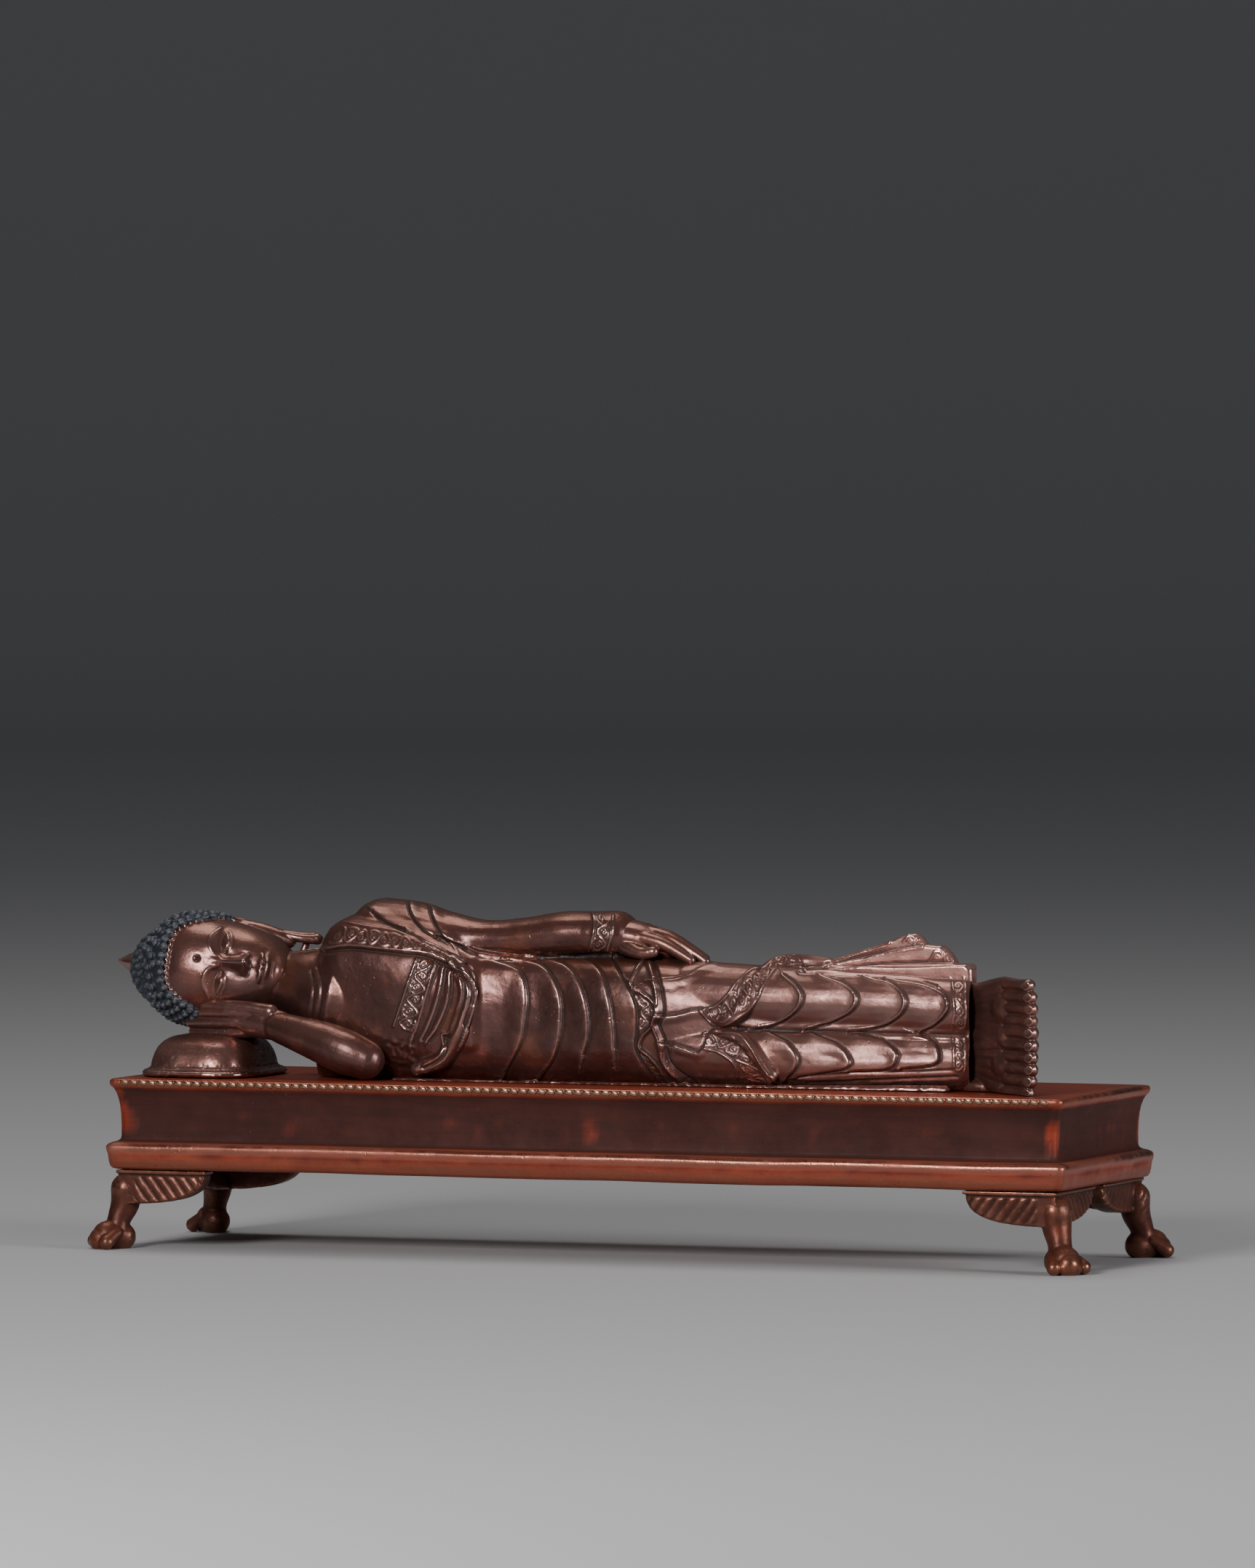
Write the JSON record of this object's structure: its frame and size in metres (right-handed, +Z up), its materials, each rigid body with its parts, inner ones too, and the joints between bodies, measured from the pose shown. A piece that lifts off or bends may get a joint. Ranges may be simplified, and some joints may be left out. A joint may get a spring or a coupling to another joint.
{
  "type": "reclining buddha statue",
  "caption": "Cast copper-alloy reclining Buddha, head on one hand and a low pillow, on a long couch with a beaded rim and paw feet.",
  "frame": {"origin": "on the ground, under the middle of the couch", "axes": "+X from the figure's head to its feet, -Y the side that the figure faces, +Z up"},
  "size_m": [0.2972, 0.0872, 0.098],
  "materials": {
    "figure_bronze": "chocolate-brown patina, rubbed to copper on the high places, matte blue-black paint on the hair",
    "pillow_bronze": "brown patina with punched dots and dark grime",
    "couch_bronze": "red-brown patina with horizontal brush streaks and brassy wear on the bead row",
    "foot_bronze": "red-brown patina, darker in the leaf strokes"
  },
  "bodies": {
    "root": {"figure": "figure_bronze", "pillow": "pillow_bronze", "couch": "couch_bronze", "couch_foot_front_head": "foot_bronze", "couch_foot_front_feet": "foot_bronze", "couch_foot_back_head": "foot_bronze", "couch_foot_back_feet": "foot_bronze"}
  },
  "joints": []
}
